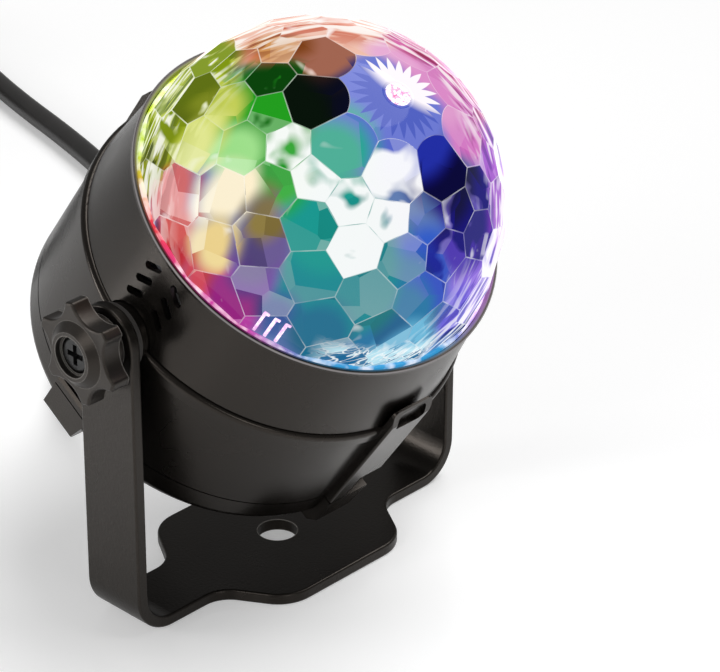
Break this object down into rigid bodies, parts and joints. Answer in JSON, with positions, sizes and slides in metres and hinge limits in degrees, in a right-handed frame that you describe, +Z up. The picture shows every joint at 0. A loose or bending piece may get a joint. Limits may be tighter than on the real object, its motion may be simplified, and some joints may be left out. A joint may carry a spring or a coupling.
{
  "type": "led disco ball light",
  "caption": "Short round stage light with a clear faceted dome that turns over coloured lamps, clamped by star knobs in a U-shaped bracket, with a mains lead.",
  "frame": {"origin": "centre of the hole in the bracket's base, on the surface that the light stands on", "axes": "+Z up along that hole; X along the pivot axis from knob to knob; the dome looks towards -Y and up at rest"},
  "size_m": [0.1828, 0.3735, 0.1267],
  "materials": {
    "housing": "satin moulded plastic",
    "bracket_paint": "black powder coat",
    "knob_plastic": "satin moulded plastic",
    "clear_dome": "clear moulded plastic",
    "clear_lens": "clear moulded plastic",
    "screw_steel": "zinc plated",
    "black_steel": "blackened",
    "brass_insert": "turned",
    "steel_shaft": "ground",
    "motor_can": "plated",
    "gearbox_cast": "cast",
    "tower_plastic": "satin moulded plastic",
    "hub_plastic": "satin moulded plastic",
    "baffle_plastic": "matt moulded plastic",
    "chassis_metal": "sheet",
    "led_board_white": "white solder mask",
    "green_board": "green solder mask",
    "led_red": "lit lens",
    "led_green": "lit lens",
    "led_blue": "lit lens",
    "holder_plastic": "matt moulded plastic",
    "chip_plastic": "matt moulded plastic",
    "mic_can": "drawn can",
    "transformer_yellow": "tape-wound",
    "capacitor_blue": "sleeved can",
    "fuse_glass": "glass tube with plated caps",
    "terminal_green": "moulded plastic",
    "washer_fibre": "fibre",
    "cord_black": "satin sheath",
    "plug_black": "satin moulded plastic",
    "pin_plated": "nickel plated",
    "wire_red": "wire insulation",
    "wire_brown": "wire insulation",
    "tie_band": "flat band"
  },
  "bodies": {
    "bracket": {"bracket": "bracket_paint", "cord_lead": "cord_black", "cord_coil": "cord_black", "coil_tie": "tie_band", "plug_body": "plug_black", "plug_pins": "pin_plated"},
    "head": {"washer_left": "washer_fibre", "washer_right": "washer_fibre", "pivot_insert_left": "brass_insert", "pivot_insert_right": "brass_insert", "front_shell": "housing", "rear_shell": "housing", "back_cover": "housing", "cover_screws": "black_steel", "motor": "motor_can", "gearbox": "gearbox_cast", "motor_tower": "tower_plastic", "tower_screws": "screw_steel", "baffle": "baffle_plastic", "chassis_plate": "chassis_metal", "chassis_screws": "screw_steel", "led_board": "led_board_white", "microphone": "mic_can", "ir_receiver": "chip_plastic", "control_board": "green_board", "control_chips": "chip_plastic", "standoffs": "brass_insert", "board_screws": "screw_steel", "power_board": "green_board", "power_board_screws": "screw_steel", "transformer": "transformer_yellow", "capacitors": "capacitor_blue", "fuse": "fuse_glass", "terminal_block": "terminal_green", "strain_relief": "cord_black", "cord_clamp": "holder_plastic", "clamp_screws": "screw_steel", "mains_tail": "cord_black", "mains_wires": "wire_brown", "led_wires": "wire_red", "motor_wires": "wire_red", "led_red": "led_red", "led_green": "led_green", "led_blue": "led_blue", "lens_red": "clear_lens", "lens_green": "clear_lens", "lens_blue": "clear_lens", "lens_holder_red": "holder_plastic", "lens_holder_green": "holder_plastic", "lens_holder_blue": "holder_plastic"},
    "spinner": {"dome": "clear_dome", "dome_hub": "hub_plastic", "pole_screw": "screw_steel", "motor_shaft": "steel_shaft"},
    "left_knob": {"knob_left": "knob_plastic", "knob_bolt_left": "black_steel"},
    "right_knob": {"knob_right": "knob_plastic", "knob_bolt_right": "black_steel"}
  },
  "joints": [
    {"name": "head_tilt", "type": "hinge", "parent": "bracket", "child": "head", "pos_m": [0, 0, 0.06925], "axis": [1, 0, 0], "range_deg": [-35, 75], "deforming": ["cord_lead"]},
    {"name": "dome_spin", "type": "hinge", "parent": "head", "child": "spinner", "pos_m": [0, 0, 0.06925], "axis": [0, -0.5736, 0.8192], "continuous": true},
    {"name": "left_knob_turn", "type": "hinge", "parent": "head", "child": "left_knob", "pos_m": [-0.05, 0, 0.06925], "axis": [-1, 0, 0], "range_deg": [0, 360]},
    {"name": "right_knob_turn", "type": "hinge", "parent": "head", "child": "right_knob", "pos_m": [0.05, 0, 0.06925], "axis": [1, 0, 0], "range_deg": [0, 360]}
  ]
}
